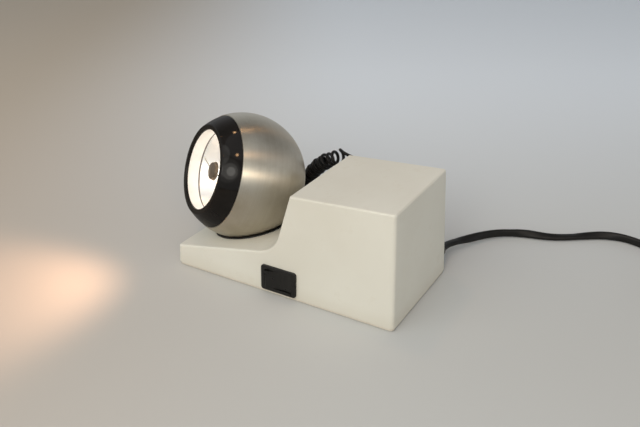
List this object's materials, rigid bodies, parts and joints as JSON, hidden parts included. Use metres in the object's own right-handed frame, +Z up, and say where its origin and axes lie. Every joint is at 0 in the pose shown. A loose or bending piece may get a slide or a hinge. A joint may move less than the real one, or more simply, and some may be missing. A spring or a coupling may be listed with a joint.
{
  "type": "ball spotlight",
  "caption": "Tabletop spotlight: a steel ball with a black front ring turns in the dished tray of a wedge-shaped base, held by a magnet, with a rocker switch and a curly cord.",
  "frame": {"origin": "on the table, under the middle of the lamp without its mains lead and bushes", "axes": "+Z up, -Y towards the front edge of the tray, +X towards the side wall with the rocker switch"},
  "size_m": [0.2263, 0.4786, 0.1184],
  "materials": {
    "cream_abs": "fine satin moulding",
    "plate_steel": "satin brown enamel",
    "foot_rubber": "matt",
    "screw_steel": "zinc plated",
    "seat_nylon": "smooth black nylon",
    "pot_steel": "bright turned",
    "ferrite": "ground ferrite",
    "core_steel": "varnished laminations",
    "bobbin_nylon": "natural nylon",
    "copper": "enamelled copper wire",
    "clamp_steel": "zinc plated sheet",
    "block_nylon": "natural nylon",
    "terminal_brass": "nickel-free brass",
    "saddle_nylon": "black nylon",
    "switch_black": "polished black",
    "bush_rubber": "matt black",
    "cord_pvc": "satin black sheath",
    "plug_pvc": "black moulded",
    "pin_brass": "nickel plated",
    "satin_steel": "spun and satin finished",
    "ring_black": "polished black phenolic",
    "sleeve_white": "white enamel",
    "bowl_bright": "bright dimpled reflector",
    "cap_metal": "satin",
    "quartz": "clear quartz",
    "bayonet_brass": "plated brass",
    "holder_phenolic": "brown-black phenolic",
    "bracket_steel": "zinc plated sheet"
  },
  "bodies": {
    "base": {"base_cover": "cream_abs", "bottom_plate": "plate_steel", "rubber_feet": "foot_rubber", "plate_screws": "screw_steel", "magnet_pot": "pot_steel", "seat_magnet": "ferrite", "magnet_strap": "pot_steel", "strap_screws": "screw_steel", "transformer_core": "core_steel", "transformer_bobbin": "bobbin_nylon", "primary_winding": "copper", "secondary_winding": "copper", "transformer_clamp": "clamp_steel", "transformer_screws": "screw_steel", "terminal_block": "block_nylon", "terminal_screws": "terminal_brass", "cord_saddle": "saddle_nylon", "cord_clamp": "saddle_nylon", "clamp_screws": "screw_steel", "switch_frame": "switch_black", "switch_tabs": "terminal_brass", "cord_bush": "bush_rubber", "mains_bush": "bush_rubber", "mains_lead": "cord_pvc", "mains_tail": "cord_pvc", "mains_hank": "cord_pvc", "mains_plug": "plug_pvc", "plug_pins": "pin_brass", "curly_lead_in": "cord_pvc", "curly_coil": "cord_pvc", "curly_tail": "cord_pvc", "secondary_tail": "cord_pvc"},
    "seat": {"seat_ring": "seat_nylon"},
    "head": {"ball_shell": "satin_steel", "front_ring": "ring_black", "inner_sleeve": "sleeve_white", "lamp_reflector": "bowl_bright", "glare_cap": "cap_metal", "cap_wires": "cap_metal", "lamp_capsule": "quartz", "lamp_base": "bayonet_brass", "lamp_holder": "holder_phenolic", "holder_bracket": "bracket_steel", "holder_screws": "screw_steel", "head_gland": "bush_rubber", "gland_nut": "bayonet_brass"},
    "rocker": {"switch_rocker": "switch_black"}
  },
  "joints": [
    {"name": "head_pan", "type": "hinge", "parent": "base", "child": "seat", "pos_m": [0, -0.05475, 0.06739], "axis": [0, -0.1973, 0.9803], "range_deg": [-117.5, 42.5], "deforming": ["curly_lead_in", "curly_coil", "curly_tail"]},
    {"name": "head_tilt", "type": "hinge", "parent": "seat", "child": "head", "pos_m": [0, -0.05475, 0.06739], "axis": [0.5373, 0.8434, 0], "range_deg": [-17, 17], "deforming": ["curly_lead_in", "curly_coil", "curly_tail"]},
    {"name": "switch_rock", "type": "hinge", "parent": "base", "child": "rocker", "pos_m": [0.04535, 0.0102, 0.01348], "axis": [0.0408, 0, -0.9992], "range_deg": [0, 16]}
  ]
}
